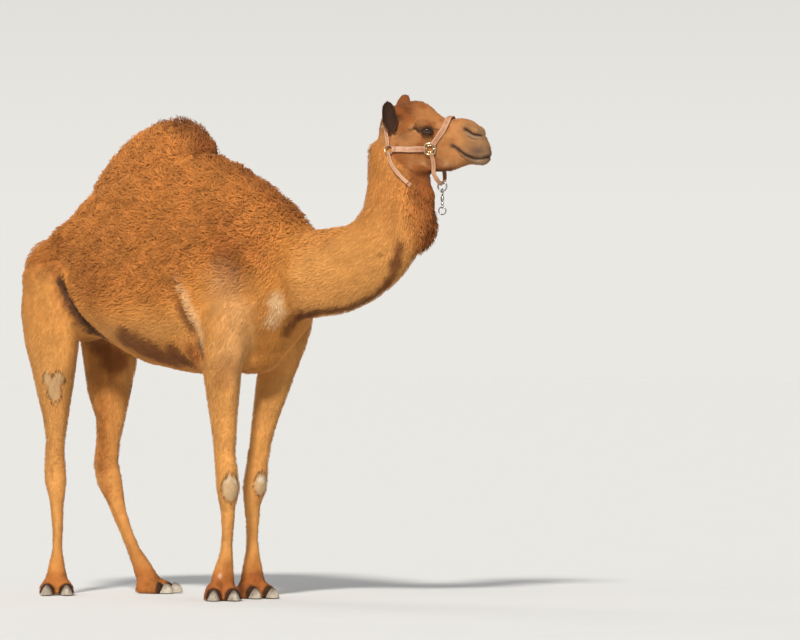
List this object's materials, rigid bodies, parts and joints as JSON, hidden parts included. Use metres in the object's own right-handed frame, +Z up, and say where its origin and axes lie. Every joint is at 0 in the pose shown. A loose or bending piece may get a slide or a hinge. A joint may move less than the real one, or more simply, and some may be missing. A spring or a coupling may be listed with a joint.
{
  "type": "dromedary camel model",
  "caption": "Life-size dromedary camel standing still on its feet, wearing a leather halter with metal rings and a snap hook.",
  "frame": {"origin": "on the floor, at the bottom centre of the whole animal's bounding box", "axes": "+X the way the body faces, +Y to the animal's left, +Z up"},
  "size_m": [2.3794, 0.7022, 2.1162],
  "materials": {
    "coat": "matte golden tawny hair, woolly on the hump, shoulders and throat",
    "ear": "matte dark brown hair",
    "eye": "wet, dark brown",
    "nail": "worn grey horn",
    "leather": "pinkish tan strap leather",
    "metal": "dull plated steel"
  },
  "bodies": {
    "root": {"cheek_ring_left": "metal", "cheek_ring_right": "metal", "cheek_strap_left": "leather", "cheek_strap_right": "leather", "chin_ring": "metal", "chin_strap": "leather", "crown_strap": "leather", "ear_left": "ear", "ear_right": "ear", "eye_left": "eye", "eye_right": "eye", "foot_fore_left": "coat", "foot_fore_right": "coat", "foot_hind_left": "coat", "foot_hind_right": "coat", "head": "coat", "hook_ring": "metal", "hump": "coat", "lower_jaw": "coat", "lower_leg_fore_left": "coat", "lower_leg_fore_right": "coat", "lower_leg_hind_left": "coat", "lower_leg_hind_right": "coat", "nail_fore_left_inner": "nail", "nail_fore_left_outer": "nail", "nail_fore_right_inner": "nail", "nail_fore_right_outer": "nail", "nail_hind_left_inner": "nail", "nail_hind_left_outer": "nail", "nail_hind_right_inner": "nail", "nail_hind_right_outer": "nail", "neck_lower": "coat", "neck_upper": "coat", "noseband": "leather", "rear_ring_left": "metal", "rear_ring_right": "metal", "snap_hook": "metal", "tail": "coat", "throat_strap": "leather", "trunk": "coat", "upper_leg_fore_left": "coat", "upper_leg_fore_right": "coat", "upper_leg_hind_left": "coat", "upper_leg_hind_right": "coat"}
  },
  "joints": []
}
